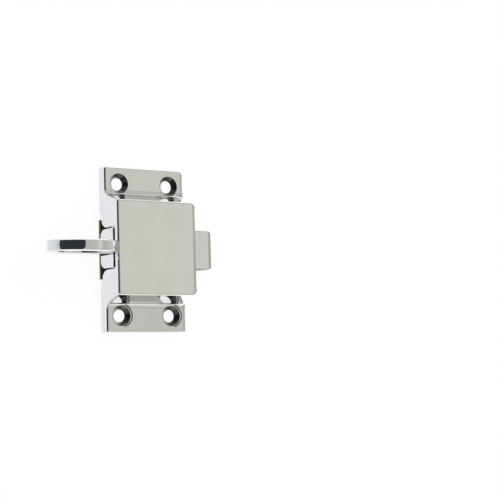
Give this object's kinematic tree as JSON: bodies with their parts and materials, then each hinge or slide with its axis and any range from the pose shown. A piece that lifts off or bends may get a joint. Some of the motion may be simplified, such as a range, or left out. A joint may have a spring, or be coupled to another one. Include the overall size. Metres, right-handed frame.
{
  "type": "transom catch",
  "caption": "Surface transom catch: a square box case on two screw flanges, a sprung bolt bevelled behind its nose, and a pull ring hinged in the bolt's tail.",
  "frame": {"origin": "centre of the mounting face, on the middle of the case", "axes": "+X the way the bolt is thrown, with the pull ring at -X; Y from flange to flange; +Z out of the mounting face"},
  "size_m": [0.0783, 0.0698, 0.0297],
  "materials": {
    "chrome_plate": "polished",
    "bare_brass": "unpolished sheet",
    "spring_steel": "drawn wire"
  },
  "bodies": {
    "housing": {"case": "chrome_plate", "back_plate": "bare_brass", "plate_screw_upper": "bare_brass", "plate_screw_lower": "bare_brass", "bolt_spring": "spring_steel"},
    "latch_bolt": {"bolt": "chrome_plate", "ring_pin": "chrome_plate"},
    "ring": {"pull_ring": "chrome_plate"}
  },
  "joints": [
    {"name": "bolt_slide", "type": "slide", "parent": "housing", "child": "latch_bolt", "axis": [1, 0, 0], "range_m": [-0.0095, 0], "stiffness_N_per_m": 350, "springref_m": 0.008, "deforming": ["bolt_spring"]},
    {"name": "ring_swing", "type": "hinge", "parent": "latch_bolt", "child": "ring", "pos_m": [-0.01655, 0, 0.0065], "axis": [0, 1, 0], "range_deg": [-51, 5.5]}
  ]
}
